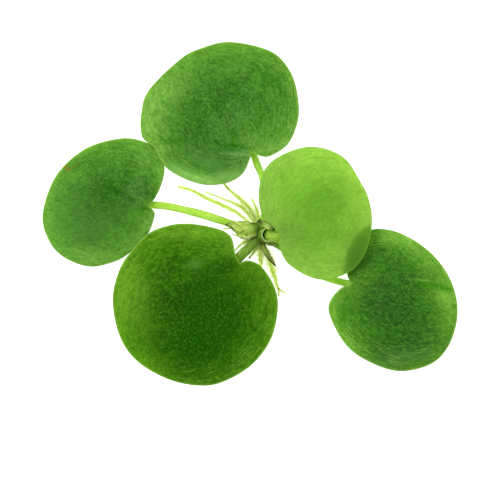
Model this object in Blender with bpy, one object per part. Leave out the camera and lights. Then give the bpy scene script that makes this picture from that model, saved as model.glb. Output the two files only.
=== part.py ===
"""Amazon frogbit, one rosette as picked, lying on a surface with its leaf undersides down.

Metres, +Z up. The origin is under the middle of the plant, at the height of the surface. Sizes and places in the
tables below are millimetres, in plan (x, y) or in space (x, y, z).
"""

import math

import bmesh
import bpy
import numpy as np
from mathutils import Vector

MM = 0.001

# How finely the solids are cut.
BLADE_ROWS = 22
BLADE_COLUMNS = 12
CURVE_STEPS = 12
PETIOLE_SIDES = 8
ROOT_SIDES = 6
SHEET_ROWS = 6
SHEET_COLUMNS = 6

# A blade's edge, the middle of its spongy pad, and how the pad thins towards the edge.
RIM_THICKNESS = 0.45
PAD_THICKNESS = 1.55
PAD_POWER = 0.7
# The share of the dish, counted from its middle, that lies flat.
FLAT_SHARE = 0.35
DISH_POWER = 1.5
SCALE_THICKNESS = 0.26

# Each blade runs from its base, where the stalk meets it, to its tip. left and right are points along its edge
# from base to tip, as seen from the base. level is the height of the underside's middle, rim how far the edge
# lifts above that, and base_lift how far the base lifts again, over base_reach, to clear its stalk.
BLADES = {
    "leaf_back": dict(
        base=(0.1, 11.6),
        tip=(-13.3, 29.3),
        left=[(0.0, 10.4), (-1.6, 7.3), (-5.1, 5.6), (-9.9, 5.7), (-15.6, 8.4), (-18.2, 12.4),
              (-20.5, 14.6), (-20.7, 18.9), (-19.2, 23.5)],
        right=[(1.9, 10.9), (3.8, 10.9), (7.2, 13.2), (9.1, 17.6), (9.1, 22.1), (7.6, 27.1),
               (3.8, 30.9), (-3.8, 32.6), (-9.3, 31.4)],
        level=0.0, rim=1.45, base_lift=1.35, base_reach=11.0,
        colour=(0.035, 0.19, 0.022),
    ),
    "leaf_left": dict(
        base=(-19.2, 1.4),
        tip=(-39.5, 0.1),
        left=[(-18.2, 0.4), (-18.2, -0.9), (-19.6, -4.1), (-22.6, -7.2), (-25.7, -9.1), (-30.5, -10.1),
              (-35.5, -8.3), (-38.4, -5.0)],
        right=[(-17.9, 3.1), (-16.7, 6.0), (-16.3, 9.0), (-17.5, 12.1), (-20.7, 13.9), (-25.0, 14.3),
               (-31.5, 12.3), (-36.9, 7.3)],
        level=0.0, rim=0.45, base_lift=1.75, base_reach=6.5,
        colour=(0.035, 0.19, 0.022),
    ),
    "leaf_front": dict(
        base=(-1.9, -9.4),
        tip=(-21.5, -28.0),
        left=[(-0.4, -8.9), (2.1, -10.0), (4.6, -13.8), (5.3, -18.0), (4.0, -23.8), (0.4, -28.7),
              (-4.9, -31.9), (-9.5, -32.7), (-15.5, -31.5)],
        right=[(-2.8, -7.5), (-3.7, -4.3), (-6.8, -2.7), (-13.1, -1.9), (-18.8, -3.5), (-22.4, -7.0),
               (-24.9, -10.9), (-26.1, -16.5), (-24.8, -23.2)],
        level=0.0, rim=1.45, base_lift=1.3, base_reach=11.0,
        colour=(0.03, 0.15, 0.008),
    ),
    "leaf_young": dict(
        base=(5.9, -4.4),
        tip=(20.9, 5.9),
        left=[(4.4, -2.9), (2.5, -1.0), (1.6, 3.3), (2.6, 7.9), (5.7, 10.8), (11.6, 12.6), (17.5, 10.7)],
        right=[(5.4, -5.9), (7.5, -9.8), (13.2, -12.5), (19.0, -10.9), (22.0, -6.9), (23.0, -1.8),
               (22.5, 2.4)],
        level=3.3, rim=0.3, base_lift=0.9, base_reach=9.0,
        colour=(0.2, 0.5, 0.06),
    ),
    "leaf_right": dict(
        base=(19.1, -13.4),
        tip=(39.3, -21.0),
        left=[(18.4, -11.3), (18.2, -7.7), (20.0, -5.0), (23.0, -3.1), (27.1, -3.2), (31.5, -5.2),
              (35.3, -8.3), (38.0, -12.2), (39.4, -16.6)],
        right=[(17.3, -14.1), (15.3, -16.4), (15.1, -19.2), (18.0, -24.7), (22.2, -28.0), (28.2, -30.0),
               (34.2, -28.8), (37.6, -25.6)],
        level=0.0, rim=0.45, base_lift=1.75, base_reach=10.0,
        colour=(0.03, 0.17, 0.015),
    ),
}

# Each stalk runs from the crown to just under its blade: points in space and the radius at each end.
PETIOLES = {
    "petiole_back": dict(
        path=[(2.3, -2.5, 1.9), (2.7, -1.0, 2.0), (3.0, 1.6, 2.0), (2.9, 4.5, 1.8), (2.3, 7.1, 1.5),
              (1.5, 9.0, 1.2), (0.8, 10.9, 1.0), (0.0, 12.9, 0.9)],
        radii=(0.64, 0.62, 0.45),
    ),
    "petiole_left": dict(
        path=[(0.3, -3.3, 1.75), (-1.9, -2.6, 1.75), (-4.6, -1.6, 1.7), (-9.7, 0.0, 1.4), (-15.2, 1.3, 1.0),
              (-18.1, 1.6, 0.9), (-20.6, 1.7, 0.8)],
        radii=(0.68, 0.64, 0.45),
    ),
    "petiole_front": dict(
        path=[(0.7, -5.5, 1.75), (-0.5, -6.8, 1.6), (-2.0, -8.3, 1.25), (-3.4, -10.4, 0.75)],
        radii=(0.92, 0.92, 0.45),
    ),
    "petiole_young": dict(
        path=[(3.1, -4.12, 3.2), (3.7, -4.12, 3.35), (4.6, -4.15, 3.3), (5.9, -4.3, 3.15), (7.4, -3.7, 3.1)],
        radii=(0.46, 0.96, 0.45),
    ),
    "petiole_right": dict(
        path=[(4.0, -5.25, 1.5), (6.1, -6.5, 1.55), (8.6, -8.6, 1.55), (11.4, -10.6, 1.45), (14.3, -12.1, 1.2),
              (17.6, -13.1, 0.95), (19.2, -13.4, 0.85), (21.2, -14.0, 0.65)],
        radii=(0.68, 0.68, 0.42),
    ),
}

# Roots lie along the surface. radii are those of the root with its hairs, at the crown, midway and at the tip.
ROOTS = {
    "root_long": dict(
        path=[(0.9, -3.0, 0.9), (-1.3, -0.7, 0.6), (-3.7, 0.9, 0.58), (-7.6, 2.6, 0.58), (-10.0, 3.9, 0.56),
              (-11.9, 4.7, 0.5), (-13.9, 5.1, 0.35)],
        radii=(0.17, 0.52, 0.26),
    ),
    "root_strand": dict(
        path=[(1.3, -2.6, 0.3), (-0.45, 0.1, 0.3), (-1.9, 1.5, 0.3), (-4.3, 2.5, 0.3), (-7.6, 3.8, 0.3),
              (-8.9, 4.2, 0.3)],
        radii=(0.16, 0.24, 0.14),
    ),
    "root_back": dict(
        path=[(1.6, -2.3, 0.85), (0.3, 0.4, 0.6), (-0.6, 1.6, 0.45), (-2.7, 3.5, 0.45), (-4.3, 4.9, 0.42),
              (-5.6, 6.9, 0.35)],
        radii=(0.18, 0.36, 0.2),
    ),
    "root_pale": dict(
        path=[(2.1, -2.4, 0.35), (1.45, 0.2, 0.4), (0.8, 1.8, 0.4), (0.1, 3.0, 0.35)],
        radii=(0.18, 0.34, 0.18),
    ),
    "root_side_upper": dict(
        path=[(0.6, -3.7, 0.5), (-1.6, -3.1, 0.35), (-3.4, -2.8, 0.3), (-5.3, -2.9, 0.25)],
        radii=(0.15, 0.2, 0.12),
    ),
    "root_side_lower": dict(
        path=[(0.5, -4.4, 0.5), (-0.8, -4.5, 0.35), (-1.9, -4.3, 0.3), (-3.5, -3.9, 0.25)],
        radii=(0.15, 0.2, 0.12),
    ),
    "root_left": dict(
        path=[(0.6, -5.1, 0.45), (-0.3, -5.3, 0.35), (-1.5, -5.7, 0.3), (-2.3, -6.4, 0.3), (-2.9, -7.1, 0.25)],
        radii=(0.16, 0.26, 0.14),
    ),
    "root_stub": dict(
        path=[(1.3, -6.1, 0.4), (0.5, -7.6, 0.3), (-0.2, -8.6, 0.3)],
        radii=(0.15, 0.22, 0.15),
    ),
    "root_front": dict(
        path=[(2.0, -6.1, 0.6), (2.0, -7.6, 0.53), (2.05, -9.2, 0.53), (1.9, -10.8, 0.45)],
        radii=(0.22, 0.5, 0.28),
    ),
    "root_forked": dict(
        path=[(2.7, -6.1, 0.6), (3.4, -7.9, 0.52), (4.0, -9.8, 0.52), (4.8, -12.3, 0.5), (5.4, -14.2, 0.42),
              (6.8, -15.2, 0.3)],
        radii=(0.22, 0.48, 0.15),
    ),
}
FORK_PATH = [(5.35, -14.0, 0.4), (5.5, -14.9, 0.33), (5.5, -15.8, 0.3)]
FORK_RADII = (0.2, 0.2, 0.14)

# Papery scales and the collar: rows of points from the crown outwards, each row across the piece.
SHEETS = {
    "scale_left": [
        [(1.0, -1.9, 2.95), (0.9, -2.7, 3.2), (0.8, -3.6, 3.2), (0.8, -4.6, 3.05)],
        [(-0.6, -1.5, 2.95), (-0.7, -2.5, 3.2), (-0.8, -3.7, 3.2), (-0.8, -4.85, 2.85)],
        [(-1.9, -1.4, 2.95), (-1.95, -2.3, 3.2), (-2.0, -3.4, 3.1), (-1.9, -4.6, 2.75)],
        [(-3.0, -1.55, 2.9), (-3.05, -2.1, 3.1), (-3.1, -2.8, 3.0), (-3.0, -3.4, 2.78)],
        [(-4.7, -2.05, 2.75), (-4.75, -2.15, 2.78), (-4.75, -2.3, 2.75), (-4.7, -2.4, 2.7)],
    ],
    "scale_top": [
        [(1.4, -1.4, 3.3), (1.8, -1.6, 3.5), (2.1, -1.9, 3.6)],
        [(2.25, -1.75, 4.6), (2.4, -2.1, 4.7), (2.6, -2.5, 4.7)],
        [(3.5, -2.3, 5.2), (3.5, -2.5, 5.3), (3.4, -2.75, 5.2)],
        [(4.4, -2.95, 5.5), (4.4, -3.05, 5.5), (4.35, -3.15, 5.45)],
    ],
    "scale_front": [
        [(2.2, -6.3, 1.45), (2.5, -6.3, 1.55), (2.8, -6.2, 1.4)],
        [(2.9, -7.7, 1.45), (3.2, -7.6, 1.55), (3.6, -7.4, 1.4)],
        [(3.9, -9.0, 1.3), (4.1, -8.9, 1.35), (4.35, -8.8, 1.25)],
        [(4.9, -10.15, 1.1), (4.95, -10.1, 1.1), (5.0, -10.05, 1.1)],
    ],
    "scale_right": [
        [(3.15, -6.15, 2.65), (3.4, -5.82, 2.9), (3.7, -5.5, 2.8)],
        [(4.2, -6.4, 2.65), (4.4, -6.0, 2.9), (4.7, -5.6, 2.75)],
        [(5.2, -6.35, 2.65), (5.35, -6.15, 2.8), (5.5, -5.9, 2.7)],
    ],
}
COLLAR_CENTRE = (2.8, -4.1)
COLLAR_RADIUS = 1.15
COLLAR_FLARE = 0.12
COLLAR_FOOT = 2.75
COLLAR_HEIGHT = 1.5
# The collar runs from this angle round its closed side to the same angle below, open towards the young leaf.
COLLAR_OPENING = math.radians(60)
COLLAR_STEPS = 14
COLLAR_ROWS = 3

CROWN_CENTRE = (2.2, -4.3, 1.4)
CROWN_RADII = (1.05, 1.3, 1.0)
CROWN_SEGMENTS = 16
CROWN_RINGS = 10
CROWN_LUMPS = 5
CROWN_LUMP_DEPTH = 0.06

STALK_COLOUR = (0.45, 0.72, 0.12)
CROWN_COLOUR = (0.12, 0.16, 0.03)
SHEATH_COLOUR = (0.45, 0.55, 0.2)
SCALE_COLOUR = (0.3, 0.34, 0.08)
ROOT_COLOUR = (0.55, 0.68, 0.2)


def clear_scene():
    for thing in list(bpy.data.objects):
        bpy.data.objects.remove(thing, do_unlink=True)


def material(name, colour, roughness):
    made = bpy.data.materials.new(name)
    made.use_nodes = True
    shader = made.node_tree.nodes["Principled BSDF"]
    shader.inputs["Base Color"].default_value = (*colour, 1)
    shader.inputs["Roughness"].default_value = roughness
    shader.inputs["Metallic"].default_value = 0
    return made


def add_solid(name, points, faces, colour, roughness):
    """An object from points in millimetres, with its faces turned outwards and its round sides shaded smooth."""
    mesh = bpy.data.meshes.new(name)
    mesh.from_pydata([Vector(point) * MM for point in points], [], faces)
    shape = bmesh.new()
    shape.from_mesh(mesh)
    bmesh.ops.recalc_face_normals(shape, faces=shape.faces)
    shape.to_mesh(mesh)
    shape.free()
    mesh.shade_smooth()
    mesh.set_sharp_from_angle(angle=math.radians(50))
    mesh.materials.append(material(name, colour, roughness))
    thing = bpy.data.objects.new(name, mesh)
    bpy.context.scene.collection.objects.link(thing)
    return thing


def smooth_curve(points):
    """A Catmull-Rom curve through the points, with CURVE_STEPS steps in each span."""
    points = np.array(points, float)
    ends = np.vstack([2 * points[0] - points[1], points, 2 * points[-1] - points[-2]])
    made = []
    for a, b, c, d in zip(ends, ends[1:], ends[2:], ends[3:]):
        for step in range(CURVE_STEPS):
            s = step / CURVE_STEPS
            made.append(0.5 * (2 * b + (c - a) * s + (2 * a - 5 * b + 4 * c - d) * s**2
                               + (3 * b - a - 3 * c + d) * s**3))
    return np.array(made + [points[-1]])


def evenly(curve, count):
    """count points on the curve, the same length of it apart."""
    steps = np.linalg.norm(np.diff(curve, axis=0), axis=1)
    along = np.concatenate([[0], np.cumsum(steps)])
    wanted = np.linspace(0, along[-1], count)
    return np.stack([np.interp(wanted, along, curve[:, axis]) for axis in range(curve.shape[1])], axis=1)


def bump(distance, reach):
    """1 at no distance, falling smoothly to 0 at reach."""
    return np.clip(1 - (distance / reach) ** 2, 0, 1) ** 2


def blade_plan(blade):
    """The plan of the blade as a grid: row 0 is the base, the last row the tip, and the outer columns the edge."""
    loop = [blade["base"], *blade["left"], blade["tip"], *reversed(blade["right"]), blade["base"]]
    edge = smooth_curve(loop)
    at_tip = CURVE_STEPS * (len(blade["left"]) + 1)
    left = evenly(edge[:at_tip + 1], BLADE_ROWS + 1)
    right = evenly(edge[at_tip:][::-1], BLADE_ROWS + 1)
    middle = evenly(np.array([blade["base"], blade["tip"]], float), BLADE_ROWS + 1)
    across = np.linspace(-1, 1, BLADE_COLUMNS + 1)
    side = np.where(across[None, :, None] < 0, left[:, None], right[:, None])
    return middle[:, None] + np.abs(across)[None, :, None] * (side - middle[:, None])


def blade_fullness():
    """1 in the middle of the blade and 0 along its edge, on the same grid."""
    along = np.linspace(0, 1, BLADE_ROWS + 1)
    across = np.linspace(-1, 1, BLADE_COLUMNS + 1)
    return np.sin(math.pi * along)[:, None] ** 0.8 * (1 - across**2)[None, :]


def blade_heights(blade, plan):
    """The heights of the underside and of the top: a shallow dish, flat in its middle, on a spongy pad."""
    fullness = np.clip(blade_fullness(), 0, 1)
    dish = np.clip(1 - fullness - FLAT_SHARE, 0, 1) / (1 - FLAT_SHARE)
    from_base = np.linalg.norm(plan - np.array(blade["base"]), axis=-1)
    lift = blade["base_lift"] * bump(from_base, blade["base_reach"])
    under = blade["level"] + blade["rim"] * dish**DISH_POWER + lift
    thickness = RIM_THICKNESS + (PAD_THICKNESS - RIM_THICKNESS) * fullness**PAD_POWER
    return under, under + thickness


def blade_skin(plan, heights, first):
    """One face of the blade: its points, and the index of each grid place. The base and tip rows are one point."""
    points, index = [], np.zeros(heights.shape, int)
    for row in range(BLADE_ROWS + 1):
        for column in range(BLADE_COLUMNS + 1):
            pole = row in (0, BLADE_ROWS)
            if not pole or column == 0:
                points.append((*plan[row, column], heights[row, column]))
            index[row, column] = first + len(points) - 1
    return points, index


def grid_faces(index):
    """The faces between neighbouring grid places, as triangles where a side has shrunk to a point."""
    faces = []
    for row in range(index.shape[0] - 1):
        for column in range(index.shape[1] - 1):
            corners = [index[row, column], index[row, column + 1],
                       index[row + 1, column + 1], index[row + 1, column]]
            face = list(dict.fromkeys(int(corner) for corner in corners))
            if len(face) > 2:
                faces.append(face)
    return faces


def edge_of(index):
    """The places round the edge of the blade, in order, from the base to the tip and back."""
    out = list(index[:, 0])
    back = list(index[1:-1, -1][::-1])
    return [int(place) for place in out + back]


def add_blade(name, blade):
    plan = blade_plan(blade)
    under, over = blade_heights(blade, plan)
    top, top_index = blade_skin(plan, over, 0)
    bottom, bottom_index = blade_skin(plan, under, len(top))
    faces = grid_faces(top_index) + [face[::-1] for face in grid_faces(bottom_index)]
    upper, lower = edge_of(top_index), edge_of(bottom_index)
    for place in range(len(upper)):
        after = (place + 1) % len(upper)
        faces.append([upper[place], upper[after], lower[after], lower[place]])
    add_solid(name, top + bottom, faces, blade["colour"], 0.35)


def radius_along(radii, share):
    """The radius at a share of the length, for radii at the start, the middle and the end."""
    return np.interp(share, (0, 0.5, 1), radii)


def tube_mesh(path, radii, sides, spacing):
    """A round tube along a smooth curve, closed by a flat cap at each end."""
    curve = smooth_curve(path)
    length = np.linalg.norm(np.diff(curve, axis=0), axis=1).sum()
    count = max(4, round(length / spacing) + 1)
    line = evenly(curve, count)
    ahead = np.gradient(line, axis=0)
    aside = np.array([0.0, 0.0, 1.0])
    points, faces = [], []
    for place, (point, forward) in enumerate(zip(line, ahead)):
        forward = forward / np.linalg.norm(forward)
        aside = np.cross(np.cross(forward, aside), forward)
        aside = aside / np.linalg.norm(aside)
        other = np.cross(forward, aside)
        radius = radius_along(radii, place / (count - 1))
        for side in range(sides):
            angle = 2 * math.pi * side / sides
            points.append(point + radius * (math.cos(angle) * aside + math.sin(angle) * other))
    for place in range(count - 1):
        for side in range(sides):
            after = (side + 1) % sides
            near, far = place * sides, (place + 1) * sides
            faces.append([near + side, near + after, far + after, far + side])
    faces.append(list(range(sides))[::-1])
    faces.append([(count - 1) * sides + side for side in range(sides)])
    return points, faces


def add_fork(root):
    """The second tip of the forked root, joined to it in one solid."""
    points, faces = tube_mesh(FORK_PATH, FORK_RADII, ROOT_SIDES, 0.8)
    tip = add_solid("fork_tip", points, faces, ROOT_COLOUR, 0.6)
    tip.hide_render = True
    tip.display_type = "WIRE"
    join = root.modifiers.new("fork", "BOOLEAN")
    join.operation = "UNION"
    join.solver = "EXACT"
    join.object = tip


def sheet_grid(rows):
    """A smooth grid of points through a few rows of hand-picked ones."""
    lines = [evenly(smooth_curve(row), SHEET_COLUMNS + 1) for row in rows]
    columns = [evenly(smooth_curve([line[place] for line in lines]), SHEET_ROWS + 1)
               for place in range(SHEET_COLUMNS + 1)]
    return np.array(columns).transpose(1, 0, 2)


def collar_grid():
    """The wall of the collar, which leans outwards towards its mouth."""
    angles = np.linspace(COLLAR_OPENING, 2 * math.pi - COLLAR_OPENING, COLLAR_STEPS + 1)
    rows = []
    for share in np.linspace(0, 1, COLLAR_ROWS + 1):
        radius = COLLAR_RADIUS + COLLAR_FLARE * share
        rows.append([(COLLAR_CENTRE[0] + radius * math.cos(angle), COLLAR_CENTRE[1] + radius * math.sin(angle),
                      COLLAR_FOOT + COLLAR_HEIGHT * share) for angle in angles])
    return np.array(rows)


def add_sheet(name, grid, colour):
    """A thin curved sheet of an even thickness."""
    index = np.arange(grid.shape[0] * grid.shape[1]).reshape(grid.shape[:2])
    sheet = add_solid(name, list(grid.reshape(-1, 3)), grid_faces(index), colour, 0.5)
    thicken = sheet.modifiers.new("thickness", "SOLIDIFY")
    thicken.thickness = SCALE_THICKNESS * MM
    thicken.offset = 0


def add_crown():
    """The short stem: a squat body with shallow grooves between the places where the stalks leave it."""
    shape = bmesh.new()
    bmesh.ops.create_uvsphere(shape, u_segments=CROWN_SEGMENTS, v_segments=CROWN_RINGS, radius=1)
    for vertex in shape.verts:
        angle = math.atan2(vertex.co.y, vertex.co.x)
        groove = 1 + CROWN_LUMP_DEPTH * math.cos(CROWN_LUMPS * angle) * (1 - abs(vertex.co.z))
        scaled = [axis * radius for axis, radius in zip(vertex.co, CROWN_RADII)]
        vertex.co = Vector((scaled[0] * groove, scaled[1] * groove, scaled[2])) + Vector(CROWN_CENTRE)
    points = [tuple(vertex.co) for vertex in shape.verts]
    faces = [[vertex.index for vertex in face.verts] for face in shape.faces]
    shape.free()
    add_solid("crown", points, faces, CROWN_COLOUR, 0.6)


def build():
    clear_scene()
    for name, blade in BLADES.items():
        add_blade(name, blade)
    for name, petiole in PETIOLES.items():
        points, faces = tube_mesh(petiole["path"], petiole["radii"], PETIOLE_SIDES, 1.6)
        add_solid(name, points, faces, STALK_COLOUR, 0.4)
    add_crown()
    for name, rows in SHEETS.items():
        add_sheet(name, sheet_grid(rows), SCALE_COLOUR)
    add_sheet("sheath", collar_grid(), SHEATH_COLOUR)
    for name, root in ROOTS.items():
        points, faces = tube_mesh(root["path"], root["radii"], ROOT_SIDES, 1.0)
        made = add_solid(name, points, faces, ROOT_COLOUR, 0.6)
        if name == "root_forked":
            add_fork(made)


build()
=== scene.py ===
"""The looks of the amazon frogbit: one rosette as picked, on a pale table, seen from straight above.

Tables are in millimetres, with +X right and +Y up in the picture and +Z towards the camera.
"""

import math

import bmesh
import bpy
import numpy as np
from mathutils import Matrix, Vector, kdtree, noise


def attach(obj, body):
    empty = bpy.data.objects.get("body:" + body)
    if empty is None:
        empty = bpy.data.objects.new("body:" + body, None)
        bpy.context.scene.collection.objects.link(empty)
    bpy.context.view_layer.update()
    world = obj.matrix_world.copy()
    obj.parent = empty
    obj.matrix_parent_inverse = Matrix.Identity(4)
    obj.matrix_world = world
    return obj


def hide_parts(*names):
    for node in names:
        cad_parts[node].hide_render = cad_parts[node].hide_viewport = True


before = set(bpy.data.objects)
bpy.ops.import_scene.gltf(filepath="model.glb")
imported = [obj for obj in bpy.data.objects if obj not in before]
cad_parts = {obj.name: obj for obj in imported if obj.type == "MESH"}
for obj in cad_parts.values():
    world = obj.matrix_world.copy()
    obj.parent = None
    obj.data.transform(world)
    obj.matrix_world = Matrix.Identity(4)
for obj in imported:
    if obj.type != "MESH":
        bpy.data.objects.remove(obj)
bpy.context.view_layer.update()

MM = 0.001
SEED = 7

# The photograph is 500 by 496 pixels. One pixel is this many millimetres at the height of the leaves.
PHOTO_WIDTH = 500
PIXEL_MM = 0.19
# The middle of the photograph and the mean height of the leaf tops.
VIEW_CENTRE = (0.0, -6.555)
VIEW_HEIGHT = 1.6
LENS = 135.0
SENSOR = 36.0
FLOOR_SIZE = 1.5
FLOOR_GLOW = 0.88

# How finely the pieces are cut.
CURVE_STEPS = 24
OUTLINE_STEPS = 2400
BLADE_ROWS = 104
BLADE_HALF_COLUMNS = 86
EDGE_SHARES = (0.9905, 0.9955, 0.9988, 1.0)
END_SHARES = (0.0015, 0.004, 0.008)
STALK_SIDES = 40
STALK_SPACING = 0.16
ROOT_SIDES = 10
ROOT_SPACING = 0.14
CROWN_ROWS = 90
CROWN_COLUMNS = 140
SHEET_ROWS = 70
SHEET_COLUMNS = 48
COLLAR_ROWS = 60
COLLAR_COLUMNS = 150

# A blade: how thick its edge and its spongy middle are, and how its underside dishes upwards.
RIM_THICKNESS = 0.34
CAD_RIM_THICKNESS = 0.45
PAD_THICKNESS = 1.55
PAD_POWER = 0.7
FLAT_SHARE = 0.35
DISH_POWER = 1.5
LIP = 0.24

# Relief of a blade: the veins, the cells between them, and the soft waves of the whole leaf.
VEIN_SPACING = 0.62
VEIN_DEPTH = 0.02
CELL_LENGTH = 0.95
CELL_DEPTH = 0.02
MAIN_VEINS = (0.0, 0.33, 0.62, 0.84)
MAIN_VEIN_WIDTH = 0.017
MAIN_VEIN_DEPTH = 0.022
WAVE_DEPTH = 0.11
WAVE_SIZE = 5.5
RIM_WAVE_DEPTH = 0.1
SPONGE_SIZE = 0.95
SPONGE_DEPTH = 0.1

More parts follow.
